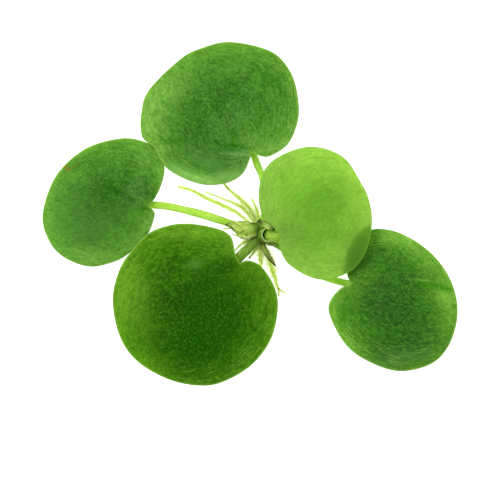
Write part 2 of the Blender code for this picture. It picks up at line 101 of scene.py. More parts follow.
# left and right are points along the edge from base to tip, as seen from the base. Folds are creases from
# one point to another with a width and a depth. deep, dim, pale, over, scar and the sheen spots are oval
# spots: the middle, two radii, a turn in degrees and a strength. deep darkens the tissue, and where its spots
# lie along folds it is painted shade in the creases. dim darkens the tissue, at one spot as painted shadow.
# pale lightens it, at one thin streak as a painted highlight. over is painted shade where the young leaf lies
# over the right leaf. The sheen spots are a painted bluish sheen of reflected light. Colours are up to 255:
# the spongy middle, the main part, the edge, the saturated green of thin wet places, which also colours the
# painted shade, and the palest green of the thinnest tissue.
BLADES = {
    "leaf_back": dict(
        base=(0.1, 11.6), tip=(-13.3, 29.3), rim=1.45, base_lift=1.35, base_reach=11, light_through=0.42,
        shine=0.12,
        colours=[(44, 112, 22), (80, 156, 52), (136, 198, 64), (40, 122, 2), (168, 224, 100)],
        left=[(0, 10.4), (-1.6, 7.3), (-5.1, 5.6), (-9.9, 5.7), (-15.6, 8.4), (-18.2, 12.4), (-20.5, 14.6),
            (-20.7, 18.9), (-19.2, 23.5)],
        right=[(1.9, 10.9), (3.8, 10.9), (7.2, 13.2), (9.1, 17.6), (9.1, 22.1), (7.6, 27.1), (3.8, 30.9),
            (-3.8, 32.6), (-9.3, 31.4)],
        folds=[((-6.8, 12.9), (0.1, 12.2), 0.55, 0.2), ((-3.2, 16), (-2.2, 12.8), 0.6, 0.12),
            ((-17, 13.6), (-11.8, 12.6), 0.4, 0.12)],
        # The deep spots at (-3.5, 12.4), (-2.9, 14.6) and (-14.6, 13.9) are painted shade in the creases of
        # the folds.
        deep=[(-3.5, 12.4, 3.3, 0.85, 0, 0.95), (-2.9, 14.6, 1.3, 1.7, 0, 0.6),
            (-14.6, 13.9, 3, 0.75, 8, 0.65), (-15.6, 20.3, 2, 0.6, -35, 0.35), (3, 26, 4.4, 1.1, -40, 0.45),
            (6.6, 20.3, 0.9, 2.6, 12, 0.35), (-4.8, 29.6, 3, 0.7, 8, 0.3), (-8.6, 8.6, 2.6, 1.5, -20, 0.5),
            (-5.6, 9.4, 1.5, 1, 0, 0.35)],
        dim=[(-6.5, 11, 8.5, 3.6, -14, 0.9), (5.5, 24.5, 2.6, 8, 14, 0.4)],
        pale=[(-19.8, 17.5, 3.2, 6.5, -8, 1), (-17.5, 11.5, 3, 1.6, 50, 0.6), (-15, 25, 3.5, 5, -40, 0.45),
            (5, 12.6, 3, 1, 10, 0.5), (-9.5, 6.4, 6.5, 1.1, -16, 1), (-2.5, 7.4, 1, 2.6, 20, 0.3),
            (-19, 21.5, 2, 4, -30, 0.3)],
        painted_sheen=[(-12.4, 7.6, 4.8, 1.1, -30, 0.7), (-4.2, 6.9, 4.2, 1, 6, 0.6),
            (-2.2, 11.2, 3.2, 0.4, -4, 0.5), (-9, 10.5, 4.5, 1.6, -20, 0.25)],
    ),
    "leaf_left": dict(
        base=(-19.2, 1.4), tip=(-39.5, 0.1), rim=0.45, base_lift=1.75, base_reach=6.5, light_through=0.42,
        shine=0.07,
        colours=[(40, 108, 12), (80, 154, 50), (128, 192, 60), (32, 100, 4), (152, 210, 92)],
        left=[(-18.2, 0.4), (-18.2, -0.9), (-19.6, -4.1), (-22.6, -7.2), (-25.7, -9.1), (-30.5, -10.1),
            (-35.5, -8.3), (-38.4, -5)],
        right=[(-17.9, 3.1), (-16.7, 6), (-16.3, 9), (-17.5, 12.1), (-20.7, 13.9), (-25, 14.3),
            (-31.5, 12.3), (-36.9, 7.3)],
        folds=[((-26.6, 5.2), (-21.8, 2.2), 0.5, 0.16)],
        # The deep spot at (-24, 3.4) is painted shade in the crease of the fold.
        deep=[(-25, 3, 5, 2, -25, 0.4), (-24, 3.4, 2.8, 0.5, -33, 0.75), (-30.5, 9.6, 4.5, 1.2, 8, 0.3),
            (-20.2, 1, 1.2, 0.5, 10, 0.5)],
        dim=[(-20, 4.4, 3.4, 3.4, 0, 0.9)],
        pale=[(-20.6, -4.4, 1.5, 4.4, -38, 0.9), (-18.7, -1.7, 1.1, 1.8, -15, 0.9),
            (-16.8, 7, 0.7, 4, 0, 0.5), (-30, -8.6, 9, 1.6, -6, 0.75), (-38.4, -1, 1.4, 6, 5, 0.4),
            (-19.6, 10.4, 2.6, 2.6, 0, 0.5)],
        painted_sheen=[(-31, -2.5, 6.5, 5, 0, 0.22)],
        scar=[(-35, 8.9, 0.7, 0.3, -45, 0.9), (-34, 8.6, 1.4, 0.15, 30, 0.5)],
    ),
    "leaf_front": dict(
        base=(-1.9, -9.4), tip=(-21.5, -28), rim=1.45, base_lift=1.3, base_reach=11, light_through=0.4,
        shine=0.03,
        colours=[(16, 80, 0), (56, 132, 0), (116, 178, 30), (22, 88, 0), (150, 206, 62)],
        left=[(-0.4, -8.9), (2.1, -10), (4.6, -13.8), (5.3, -18), (4, -23.8), (0.4, -28.7), (-4.9, -31.9),
            (-9.5, -32.7), (-15.5, -31.5)],
        right=[(-2.8, -7.5), (-3.7, -4.3), (-6.8, -2.7), (-13.1, -1.9), (-18.8, -3.5), (-22.4, -7),
            (-24.9, -10.9), (-26.1, -16.5), (-24.8, -23.2)],
        deep=[(-7, -17.5, 6.5, 9.5, -25, 0.8), (-4.6, -9.6, 2.4, 1.6, 0, 0.5),
            (-11, -26.5, 8, 4, -12, 0.75), (-1, -24, 4, 4.5, 0, 0.4)],
        dim=[(-9, -31, 12, 4, 5, 0.65), (3.5, -22.5, 2.6, 9, -8, 0.2)],
        pale=[(-22.6, -13.5, 3, 8, 14, 0.5), (-24.6, -18, 1.4, 6.5, -4, 0.5),
            (-11, -3.6, 7.5, 1.4, 3, 0.7)],
        painted_sheen=[(-10.5, -9.6, 1.6, 0.8, 20, 0.25)],
    ),
    "leaf_young": dict(
        base=(5.9, -4.4), tip=(20.9, 5.9), level=3.3, rim=0.3, base_lift=0.9, base_reach=9,
        light_through=0.74, shine=0.12,
        colours=[(152, 204, 80), (172, 222, 92), (214, 244, 126), (84, 150, 44), (200, 238, 128)],
        left=[(4.4, -2.9), (2.5, -1), (1.6, 3.3), (2.6, 7.9), (5.7, 10.8), (11.6, 12.6), (17.5, 10.7)],
        right=[(5.4, -5.9), (7.5, -9.8), (13.2, -12.5), (19, -10.9), (22, -6.9), (23, -1.8), (22.5, 2.4)],
        deep=[(12, -1, 6.5, 6.5, 0, 0.25), (17.5, 4, 4, 3.5, 20, 0.2)],
        pale=[(18.5, 2.8, 2.4, 0.6, -35, 0.5), (2.6, 1.5, 1.8, 6.5, -8, 0.55), (9, -9.6, 4, 1.8, -35, 0.5),
            (12, -8, 8, 4, -5, 0.35), (4.6, 9.4, 4.5, 1.4, 45, 0.6), (15, -11.4, 5, 1.2, 8, 0.5)],
        # over is painted shade where this leaf lies over the right leaf; its fourth colour, also used for its
        # darker patches, is the green of that shade.
        over=[(25.6, -11, 7.9, 9.6, 0, 1)],
    ),
    "leaf_right": dict(
        base=(19.1, -13.4), tip=(39.3, -21), rim=0.45, base_lift=1.75, base_reach=10, light_through=0.42,
        shine=0.14, stripes=1.5,
        colours=[(30, 98, 26), (64, 142, 40), (132, 194, 56), (66, 148, 2), (160, 222, 84)],
        left=[(18.4, -11.3), (18.2, -7.7), (20, -5), (23, -3.1), (27.1, -3.2), (31.5, -5.2), (35.3, -8.3),
            (38, -12.2), (39.4, -16.6)],
        right=[(17.3, -14.1), (15.3, -16.4), (15.1, -19.2), (18, -24.7), (22.2, -28), (28.2, -30),
            (34.2, -28.8), (37.6, -25.6)],
        folds=[((31.4, -13.2), (38.2, -14.4), 0.6, 0.3), ((31.6, -12.5), (36.6, -12.9), 0.35, -0.12)],
        # The deep spots at (34.8, -13.75) and (37.6, -14.3) are painted shade in the crease of the first
        # fold.
        deep=[(34.8, -13.75, 3.2, 0.62, -9, 1), (37.6, -14.3, 1.3, 0.35, -12, 0.8),
            (17.6, -19.6, 1, 1.6, 10, 0.4), (24.5, -15.4, 1.8, 0.5, 12, 0.35)],
        # The dim spot at (19.8, -9.5) is painted shadow beside the young leaf's edge.
        dim=[(24, -16, 4.5, 4.5, 0, 0.55), (29, -20.5, 8, 7, 20, 0.5), (29, -26.5, 9.5, 3.6, 8, 0.75),
            (19.8, -9.5, 2.2, 3.2, -10, 0.6), (28, -8.8, 4.2, 2.4, -22, 0.4)],
        # The thin pale spot at (33.2, -12.75) is a painted highlight along the ridge of the second fold.
        pale=[(18.6, -24, 5, 1.2, -48, 0.7), (37.8, -16.5, 1.8, 4.5, 0, 0.6), (34, -8, 6, 2.2, -42, 0.5),
            (15.9, -18.5, 0.9, 2.5, 0, 0.5), (29.2, -4.9, 4.5, 1.5, -18, 0.6),
            (24.8, -4.4, 3.6, 1.6, 4, 0.7), (33.2, -12.75, 2.4, 0.22, -6, 0.9),
            (36, -15.6, 2.4, 1.4, -20, 0.5)],
        painted_sheen=[(28, -27.5, 6.5, 1.5, 10, 0.25)],
    ),
}

# Stalks: radii at the start, the middle and the end, how old and dull each looks, how dark the painted shade
# on its sides is, and its path, with its ends inside the crown and inside the blade.
STALKS = {
    "petiole_back": dict(
        radii=(0.68, 0.68, 0.32), age=0.1, painted_side_shade=0.4,
        path=[(2.2, -3.4, 1.7), (2.3, -2.5, 1.9), (2.7, -1, 2), (3, 1.6, 2), (2.9, 4.5, 1.8),
            (2.3, 7.1, 1.5), (1.5, 9, 1.3), (0.8, 10.9, 1.3), (-0.1, 12.9, 1.45), (-1.6, 15.4, 1)],
    ),
    "petiole_left": dict(
        radii=(0.74, 0.74, 0.32), age=0, painted_side_shade=0.7,
        path=[(1.5, -3.9, 1.7), (0.3, -3.3, 1.75), (-1.9, -2.6, 1.75), (-4.6, -1.6, 1.7), (-9.7, 0, 1.4),
            (-15.2, 1.3, 1), (-18.1, 1.6, 1.05), (-20.6, 1.7, 1.25), (-23.5, 1.5, 0.9)],
    ),
    "petiole_front": dict(
        radii=(0.92, 0.92, 0.4), age=0.6, painted_side_shade=1,
        path=[(1.8, -4.6, 1.6), (0.7, -5.5, 1.75), (-0.5, -6.8, 1.6), (-2, -8.3, 1.35), (-3.4, -10.4, 1.2),
            (-5, -12.4, 0.8)],
    ),
    "petiole_young": dict(
        radii=(1.22, 1.1, 0.3), age=0.25, painted_side_shade=0.35,
        path=[(3.7, -4.12, 1.9), (3.75, -4.12, 2.6), (4.1, -4.12, 3.15), (4.9, -4.15, 3.4),
            (5.9, -4.3, 3.4), (7.4, -3.7, 3.5), (9.6, -2.4, 3.6)],
    ),
    "petiole_right": dict(
        radii=(0.7, 0.7, 0.32), age=0, painted_side_shade=0.05,
        path=[(2.9, -4.7, 1.5), (4, -5.25, 1.5), (6.1, -6.5, 1.55), (8.6, -8.6, 1.55), (11.4, -10.6, 1.45),
            (14.3, -12.1, 1.2), (17.6, -13.1, 1.05), (19.2, -13.4, 1.2), (21.2, -14, 1.3),
            (23.8, -15, 0.9)],
    ),
}

# Angles from the top of the front stalk at which dark grooves run along it.
FRONT_GROOVES = (-0.85, -0.38, 0.18, 0.62)

# Roots: radii are those of the root with its hairs. Worn roots are browner, and fluff is how much further the
# hairs reach by the crown.
ROOTS = {
    "root_long": dict(
        radii=(0.2, 0.52, 0.3),
        path=[(1.6, -3.7, 1.1), (0.9, -3, 0.9), (-1.3, -0.7, 0.6), (-3.7, 0.9, 0.58), (-7.6, 2.6, 0.58),
            (-10, 3.9, 0.56), (-11.9, 4.7, 0.5), (-13.9, 5.1, 0.35)],
    ),
    "root_strand": dict(
        radii=(0.16, 0.24, 0.14), fluff=0.6,
        path=[(1.8, -3.4, 0.6), (1.3, -2.6, 0.3), (-0.45, 0.1, 0.3), (-1.9, 1.5, 0.3), (-4.3, 2.5, 0.3),
            (-7.6, 3.8, 0.3), (-8.9, 4.2, 0.3)],
    ),
    "root_back": dict(
        radii=(0.18, 0.36, 0.2), worn=0.9, fluff=0.7,
        path=[(1.9, -3.2, 1.1), (1.6, -2.3, 0.85), (0.3, 0.4, 0.6), (-0.6, 1.6, 0.45), (-2.7, 3.5, 0.45),
            (-4.3, 4.9, 0.42), (-5.6, 6.9, 0.35)],
    ),
    "root_pale": dict(
        radii=(0.18, 0.34, 0.18), fluff=0.7,
        path=[(2.2, -3.2, 0.6), (2.1, -2.4, 0.35), (1.45, 0.2, 0.4), (0.8, 1.8, 0.4), (0.1, 3, 0.35)],
    ),
    "root_side_upper": dict(
        radii=(0.15, 0.2, 0.12), fluff=0.5,
        path=[(1.5, -3.9, 0.8), (0.6, -3.7, 0.5), (-1.6, -3.1, 0.35), (-3.4, -2.8, 0.3),
            (-5.3, -2.9, 0.25)],
    ),
    "root_side_lower": dict(
        radii=(0.15, 0.2, 0.12), worn=0.6, fluff=0.8,
        path=[(1.4, -4.4, 0.7), (0.5, -4.4, 0.5), (-0.8, -4.5, 0.35), (-1.9, -4.3, 0.3),
            (-3.5, -3.9, 0.25)],
    ),
    "root_left": dict(
        radii=(0.16, 0.26, 0.14), worn=1, fluff=0.8,
        path=[(1.5, -4.9, 0.7), (0.6, -5.1, 0.45), (-0.3, -5.3, 0.35), (-1.5, -5.7, 0.3), (-2.3, -6.4, 0.3),
            (-2.9, -7.1, 0.25)],
    ),
    "root_stub": dict(
        radii=(0.15, 0.22, 0.15), fluff=1,
        path=[(1.7, -5.3, 0.7), (1.3, -6.1, 0.4), (0.5, -7.6, 0.3), (-0.2, -8.6, 0.3)],
    ),
    "root_front": dict(
        radii=(0.22, 0.5, 0.28), worn=0.4, fluff=1,
        path=[(2.1, -5.4, 0.9), (2, -6.1, 0.6), (2, -7.6, 0.53), (2.05, -9.2, 0.53), (1.9, -10.8, 0.45)],
    ),
    "root_forked": dict(
        radii=(0.22, 0.48, 0.15), worn=0.5, fluff=1.1, fork_radii=(0.2, 0.2, 0.14),
        path=[(2.5, -5.4, 0.9), (2.7, -6.1, 0.6), (3.4, -7.9, 0.52), (4, -9.8, 0.52), (4.8, -12.3, 0.5),
            (5.4, -14.2, 0.42), (6.8, -15.2, 0.3)],
        fork=[(5.35, -14, 0.4), (5.5, -14.9, 0.33), (5.5, -15.8, 0.3)],
    ),
}

# How much of a root's radius the bare root takes, and how far its hairs reach.
ROOT_CORE_SHARE = 0.62
HAIR_REACH = 1.25
HAIRS_PER_MM = 130
HAIR_THICKNESS = 0.015

# Papery scales: rows of points from the crown outwards, each row across the piece.
SCALES = {
    "scale_left": [
        [(1.5, -1.9, 2.4), (1.5, -2.7, 2.6), (1.5, -3.6, 2.65), (1.4, -4.4, 2.5)],
        [(0.6, -1.7, 2.85), (0.5, -2.6, 3.15), (0.4, -3.6, 3.2), (0.4, -4.6, 2.95)],
        [(-0.6, -1.5, 2.95), (-0.7, -2.5, 3.2), (-0.8, -3.7, 3.2), (-0.8, -4.85, 2.8)],
        [(-1.9, -1.4, 2.95), (-1.95, -2.3, 3.2), (-2, -3.4, 3.1), (-1.9, -4.6, 2.65)],
        [(-3, -1.55, 2.9), (-3.05, -2.1, 3.1), (-3.1, -2.8, 3), (-3, -3.4, 2.75)],
        [(-3.9, -1.8, 2.8), (-3.95, -2.05, 2.95), (-3.95, -2.35, 2.9), (-3.8, -2.55, 2.75)],
        [(-4.7, -2.05, 2.75), (-4.75, -2.15, 2.78), (-4.75, -2.3, 2.75), (-4.7, -2.4, 2.7)],
    ],
    "scale_top": [
        [(1.2, -1.7, 2.2), (1.6, -2.4, 2.45), (2.2, -2.95, 2.4)],
        [(1.95, -1.15, 3.5), (2.25, -1.9, 3.8), (2.8, -2.85, 3.6)],
        [(2.85, -1.5, 4.6), (3.05, -2.2, 4.75), (3.4, -3.15, 4.6)],
        [(3.7, -2.1, 5.2), (3.8, -2.6, 5.3), (4, -3.3, 5.15)],
        [(4.7, -3, 5.5), (4.72, -3.12, 5.52), (4.72, -3.3, 5.5)],
    ],
    "scale_front": [
        [(2, -5.2, 1.6), (2.4, -5.2, 1.9), (2.9, -5.1, 1.7)],
        [(2.15, -6.2, 1.5), (2.55, -6.25, 1.7), (3, -6.1, 1.5)],
        [(2.75, -7.7, 1.45), (3.15, -7.6, 1.65), (3.6, -7.4, 1.45)],
        [(3.85, -9.05, 1.3), (4.1, -8.95, 1.42), (4.4, -8.8, 1.28)],
        [(4.95, -10.2, 1.1), (5, -10.15, 1.12), (5.05, -10.1, 1.1)],
    ],
    "scale_right": [
        [(2.7, -5.4, 1.9), (2.9, -5.1, 2.2), (3.1, -4.8, 2.1)],
        [(3.3, -5.95, 2.5), (3.5, -5.55, 2.85), (3.8, -5.1, 2.8)],
        [(4.2, -6.2, 2.65), (4.4, -5.8, 3), (4.7, -5.25, 2.85)],
        [(5, -6.2, 2.65), (5.2, -5.9, 2.9), (5.4, -5.45, 2.75)],
        [(5.5, -6.05, 2.7), (5.55, -5.9, 2.75), (5.6, -5.7, 2.7)],
    ],
}

# How much darker a whole scale is, how many nerves it has, and its brown spots, as on the blades.
SCALE_GLOOM = {"scale_left": 0.0, "scale_top": 0.08, "scale_front": 0.15, "scale_right": 0.0}
SCALE_NERVES = {"scale_left": 15, "scale_top": 7, "scale_front": 7, "scale_right": 9}
SCALE_SPOTS = [(-1.45, -3.45, 0.4, 0.12, 20, 1), (-0.6, -4.15, 0.22, 0.16, 0, 1),
               (0.5, -1.95, 0.6, 0.1, -12, 0.9), (-1.5, -4.5, 0.3, 0.12, -40, 0.9),
               (-3.4, -2.75, 0.5, 0.1, -45, 0.9), (-2.2, -2.2, 0.6, 0.05, -15, 0.5),
               (4.2, -9.3, 1.1, 0.16, -50, 1), (3.4, -8.2, 0.9, 0.1, -55, 0.8),
               (2, -1.65, 0.6, 0.35, -20, 0.9), (4.2, -2.95, 0.55, 0.14, -35, 1),
               (4, -5.95, 0.5, 0.1, -5, 0.8), (5, -5.7, 0.4, 0.15, 10, 0.5)]
SCALE_THICKNESS = 0.13

# The collar: the middle and radius of its foot and of its lip, and the part of the round that stays open.
COLLAR_FOOT = np.array((2.75, -4.12, 1.9))
COLLAR_FOOT_RADIUS = 1.3
COLLAR_LIP = np.array((3.66, -4.02, 4.3))
COLLAR_LIP_RADIUS = 1.22
COLLAR_OPENING = math.radians(62)
COLLAR_THICKNESS = 0.26

CROWN_CENTRE = (2.15, -4.08, 1.45)
CROWN_RADII = (1.55, 1.8, 1.15)
CROWN_LOWEST = 0.3


def shader_colour(colour):
    """A colour given from 0 to 255 as a shader takes it. Any other colour stays as it is."""
    if not isinstance(colour, tuple) or len(colour) != 3:
        return colour
    values = [part / 255 for part in colour]
    return *(part / 12.92 if part <= 0.04045 else ((part + 0.055) / 1.055) ** 2.4 for part in values), 1


def smooth_curve(points):
    """A Catmull-Rom curve through the points, with CURVE_STEPS steps in each span."""
    points = np.array(points, float)
    ends = np.vstack([2 * points[0] - points[1], points, 2 * points[-1] - points[-2]])
    share = (np.arange(CURVE_STEPS) / CURVE_STEPS)[:, None]
    spans = [0.5 * (2 * b + (c - a) * share + (2 * a - 5 * b + 4 * c - d) * share**2
                    + (3 * b - a - 3 * c + d) * share**3)
             for a, b, c, d in zip(ends, ends[1:], ends[2:], ends[3:])]
    return np.vstack([*spans, points[-1]])


def lengths_along(curve):
    """How far along the curve each of its points is."""
    return np.concatenate([[0], np.cumsum(np.linalg.norm(np.diff(curve, axis=0), axis=1))])


def along_curve(curve, shares):
    """The points at these shares of the curve's length."""
    reached = lengths_along(curve)
    wanted = np.asarray(shares) * reached[-1]
    return np.stack([np.interp(wanted, reached, numbers) for numbers in curve.T], axis=1)


def bump(distance, reach):
    """1 at no distance, falling smoothly to 0 at reach."""
    return np.clip(1 - (distance / reach) ** 2, 0, 1) ** 2


def limit(start, width, numbers):
    """0 up to start, rising evenly to 1 over this width."""
    return np.clip((numbers - start) / width, 0, 1)


def lumps(points, size, seed):
    """Smooth noise, about -1 to 1, at each point, with lumps of this size."""
    shift = Vector((seed * 13.7, seed * 5.1, seed * 9.3))
    flat = points.reshape(-1, points.shape[-1]) / size
    if flat.shape[1] == 2:
        flat = np.column_stack([flat, np.zeros(len(flat))])
    return np.array([noise.noise(Vector(point) + shift) for point in flat]).reshape(points.shape[:-1])


def lay_out(*numbers):
    """A vector at each place of a grid. Each number is given for the grid, a row, a column or all."""
    return np.stack(np.broadcast_arrays(*numbers), axis=-1)


def fill(shape, **grids):
    """Each grid of values over the whole shape, also where it has one row, one column or one number."""
    return {label: np.broadcast_to(grid, shape + np.shape(grid)[2:]) for label, grid in grids.items()}


def grid_faces(index, wraps=False):
    """The faces between neighbouring grid places, triangles where a side has shrunk to a point."""
    if wraps:
        index = np.column_stack([index, index[:, 0]])
    corners = np.stack([index[:-1, :-1], index[:-1, 1:], index[1:, 1:], index[1:, :-1]], axis=-1)
    faces = [list(dict.fromkeys(face)) for face in corners.reshape(-1, 4).tolist()]
    return [face for face in faces if len(face) > 2]


def closed_faces(points):
    """The faces of a grid that goes all round, with its first and last row as one point each."""
    index = np.arange(points.shape[0] * points.shape[1]).reshape(points.shape[:2])
    index[0] = index[0, 0]
    index[-1] = index[-1, 0]
    return grid_faces(index, wraps=True)


def add_object(name, data):
    made = bpy.data.objects.new(name, data)
    bpy.context.scene.collection.objects.link(made)
    return made


def add_piece(name, points, faces, material, values, outward=True):
    """A smooth mesh piece, from points in millimetres, that stands for the CAD node of this name."""
    mesh = bpy.data.meshes.new(name)
    mesh.from_pydata((np.reshape(points, (-1, 3)) * MM).tolist(), [], faces)
    for label, numbers in values.items():
        is_vector = np.size(numbers) == 3 * len(mesh.vertices)
        layer = mesh.attributes.new(label, "FLOAT_VECTOR" if is_vector else "FLOAT", "POINT")
        layer.data.foreach_set("vector" if is_vector else "value", np.ravel(numbers).astype(np.float32))
    if outward:
        shape = bmesh.new()
        shape.from_mesh(mesh)
        unused = [point for point in shape.verts if not point.link_faces]
        bmesh.ops.delete(shape, geom=unused, context="VERTS")
        bmesh.ops.recalc_face_normals(shape, faces=shape.faces)
        shape.to_mesh(mesh)
        shape.free()
    mesh.shade_smooth()
    mesh.materials.append(material)
    piece = add_object(name + "_look", mesh)
    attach(piece, "root")
    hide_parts(name)


class Nodes:
    """The nodes of a material or world. Most methods add a node and give back its output. A colour is such an
    output, four numbers as a shader takes them, or three given, 0 to 255."""

    def __init__(self, owner):
        self.owner = owner
        owner.use_nodes = True
        self.tree = owner.node_tree
        self.tree.nodes.clear()

    def add(self, kind, inputs=None, **settings):
        """A node whose inputs are set to values or linked to outputs."""
        made = self.tree.nodes.new(kind)
        for label, value in settings.items():
            setattr(made, label, value)
        for label, value in (inputs or {}).items():
            if isinstance(value, bpy.types.NodeSocket):
                self.tree.links.new(value, made.inputs[label])
            else:
                made.inputs[label].default_value = value
        return made

    def value(self, label, output="Fac"):
        return self.add("ShaderNodeAttribute", attribute_name=label).outputs[output]

    def calc(self, operation, *numbers, clamp=False):
        settings = dict(operation=operation, use_clamp=clamp)
        return self.add("ShaderNodeMath", dict(enumerate(numbers)), **settings).outputs[0]

    def times(self, first, *others):
        for other in others:
            first = self.calc("MULTIPLY", first, other)
        return first

    def spread(self, value, low, high, to_low=0.0, to_high=1.0):
        """A value mapped smoothly from one range to another."""
        numbers = dict(enumerate((value, low, high, to_low, to_high)))
        return self.add("ShaderNodeMapRange", numbers, interpolation_type="SMOOTHSTEP").outputs[0]

    def mix(self, share, first, second, blend="MIX"):
        settings = dict(data_type="RGBA", blend_type=blend, clamp_factor=True)
        inputs = {0: share, 6: shader_colour(first), 7: shader_colour(second)}
        return self.add("ShaderNodeMix", inputs, **settings).outputs[2]

    def covers(self, colour, *layers):
        """The colour with layers laid on it in turn, each a colour and its shares, which are multiplied. A
        share is a number, an output or the label of a value in the mesh."""
        for over, *shares in layers:
            shares = [self.value(share) if isinstance(share, str) else share for share in shares]
            colour = self.mix(self.times(*shares), colour, over)
        return colour

    def stretch(self, vector, *scale):
        return self.add("ShaderNodeVectorMath", {0: vector, 1: scale}, operation="MULTIPLY").outputs[0]

    def place(self):
        """The place on the object in millimetres."""
        return self.stretch(self.add("ShaderNodeTexCoord").outputs["Object"], 1000, 1000, 1000)

    def noise(self, vector, scale, detail=2.0, roughness=0.5, span=None):
        """Noise, mapped smoothly from the span, if there is one, to 0 and 1."""
        inputs = {"Vector": vector, "Scale": scale, "Detail": detail, "Roughness": roughness}
        made = self.add("ShaderNodeTexNoise", inputs).outputs["Fac"]
        return made if span is None else self.spread(made, *span)

    def cells(self, vector, size, random, kind, inner, outer):
        """Cells, 1 up to the inner distance from their middle and 0 from the outer one, and random numbers
        of each cell's own."""
        inputs = {"Vector": vector, "Scale": 1 / size, "Randomness": random}
        made = self.add("ShaderNodeTexVoronoi", inputs, voronoi_dimensions=kind)
        own = self.add("ShaderNodeSeparateColor", {0: made.outputs["Color"]})
        return self.spread(made.outputs["Distance"], inner, outer, 1, 0), own.outputs

    def flecks(self, vector, size, random):
        """Oval cells with soft walls, each a little lighter or darker than the next."""
        inside, own = self.cells(vector, size, random, "2D", 0.1, 0.7)
        return self.times(inside, self.spread(own[0], 0, 1))

    def relief(self, height, strength, distance):
        inputs = {"Height": height, "Strength": strength, "Distance": distance * MM}
        return self.add("ShaderNodeBump", inputs).outputs["Normal"]

    def surface(self, colour, roughness, normal, specular, coat=0.0, coat_roughness=0.2):
        inputs = {"Base Color": colour, "Roughness": roughness, "Normal": normal, "Coat Weight": coat,
                  "Coat Roughness": coat_roughness, "Specular IOR Level": specular}
        return self.add("ShaderNodeBsdfPrincipled", inputs).outputs[0]

    def finish(self, shader, through=None, share=0.0, normal=None):
        """Sends the shader out, with a share of it as light that comes through the tissue."""
        if through is not None:
            glow = self.add("ShaderNodeBsdfTranslucent", {"Color": through, "Normal": normal})
            shader = self.add("ShaderNodeMixShader", {0: share, 1: shader, 2: glow.outputs[0]}).outputs[0]
        self.add("ShaderNodeOutputMaterial", {"Surface": shader})
        return self.owner


def leaf_material(name, blade):
    """Waxy leaf: darker spongy middle, yellower edge, cloudy patches, flecks between broken veins."""
    nodes = Nodes(bpy.data.materials.new(name))
    middle, main, edge, deep, pale = blade["colours"]
    young = name == "leaf_young"
    contrast = 0.7 if young else 1.0
    grain, place = nodes.value("grain", "Vector"), nodes.place()
    rim, full, under = [nodes.value(label) for label in ("rim", "full", "under")]
    open_share = nodes.spread(nodes.value("spread"), 0.2, 0.6)

    # Flecks lie in rows between the veins towards the edge. Elsewhere they lie anyhow.
    ordered = nodes.times(open_share, nodes.spread(full, 0.5, 0.9, 1.0, 0.6))
    rows = nodes.flecks(nodes.value("lanes", "Vector"), 0.8, 0.9)
    fleck = nodes.mix(ordered, nodes.flecks(place, 0.55, 1.0), rows)
    along_veins = nodes.noise(nodes.stretch(grain, 2, 0.7, 1), 0.85, 4, 0.7)
    mottle = nodes.spread(nodes.mix(ordered, nodes.noise(place, 0.8, 4, 0.7), along_veins), 0.42, 0.62)
    patches = nodes.noise(place, 0.15, 5, 0.62, (0.48, 0.57))
    blotches = nodes.noise(nodes.stretch(place, 1, -1, 1), 0.55, 4, 0.65, (0.5, 0.6))
    clouds = nodes.noise(nodes.stretch(place, -1, 1, 1), 0.26, 4, 0.6, (0.42, 0.6))
    grains = nodes.noise(place, 2, 4, 0.8)
    dots, own = nodes.cells(place, 0.7, 1.0, "3D", 0.144, 0.36)
    where_dots = nodes.noise(place, 0.3, 2, 0.5, (0.45, 0.6))
    dots = nodes.times(dots, nodes.calc("GREATER_THAN", own[1], 0.5), where_dots)

    # Veins: fine lighter lines with darker tissue between, clearest towards the edge.
    bent = nodes.calc("MULTIPLY_ADD", nodes.noise(place, 0.3), 2.0, nodes.value("vein_phase"))
    vein = nodes.calc("MULTIPLY_ADD", nodes.calc("COSINE", nodes.times(bent, 2.2 * math.pi)), 0.5, 0.5)
    broken = nodes.noise(nodes.stretch(grain, 0.9, 0.45, 1), 1.1, 4, 0.5, (0.48, 0.6))
    streak = nodes.times(nodes.spread(rim, 0.08, 0.45), open_share, broken, blade.get("stripes", 1.0))

    tissue = nodes.covers(
        main,
        (middle, nodes.spread(full, 0.2, 0.95)),
        (main, clouds, 0.5 * contrast),
        (deep, patches, 0.55 * contrast),
        (edge, rim),
        (middle, "dim"),
        (pale, "pale"),
    )
    light = nodes.mix(0.4, tissue, pale)
    shade = nodes.mix(1.0, tissue, (0.36, 0.5, 0.36, 1), "MULTIPLY")
    underside = nodes.covers((112, 160, 62), ((164, 204, 102), fleck, 0.6))
    colour = nodes.covers(
        tissue,
        (shade, mottle, 0.6 * contrast),
        (shade, blotches, 0.45 * contrast),
        (light, fleck, 0.6 * contrast),
        # deep darkens patches of tissue, and along the folds it is painted shade in the creases.
        (deep, "deep"),
        (shade, streak, nodes.calc("SUBTRACT", 1.0, vein), 0.42 * contrast),
        (pale, streak, vein, 0.3),
        (shade, nodes.spread(grains, 0.5, 0.62), 0.5 * contrast),
        (light, nodes.spread(grains, 0.5, 0.38), 0.4 * contrast),
        (shade, dots, 0.65 * contrast),
        # Painted shade where the young leaf lies over the right leaf.
        (nodes.mix(0.55, deep, shade), "over"),
        # Painted sheen: a paler bluish patch that stands for light reflected off the leaf, broken up by the
        # grains.
        ((150, 208, 116), "painted_sheen", nodes.spread(grains, 0.42, 0.58, 0.15, 1.0)),
        ((150, 120, 30), "scar"),
        ((164, 210, 88), "margin"),
        (underside, under),
    )
    normal = nodes.relief(nodes.calc("ADD", nodes.times(fleck, 0.8), nodes.times(grains, 0.7)), 0.55, 0.06)
    gloss = nodes.spread(nodes.noise(place, 0.9, 3, 0.6), 0.3, 0.7, 0.36, 0.52)
    shader = nodes.surface(colour, gloss, normal, blade["shine"], 0.03, 0.15)
    glow = nodes.covers((206, 238, 122) if young else edge, ((206, 236, 120), under))
    through = nodes.mix(0.4 if young else 0.2, colour, glow)
    return nodes.finish(shader, through, blade["light_through"], normal)


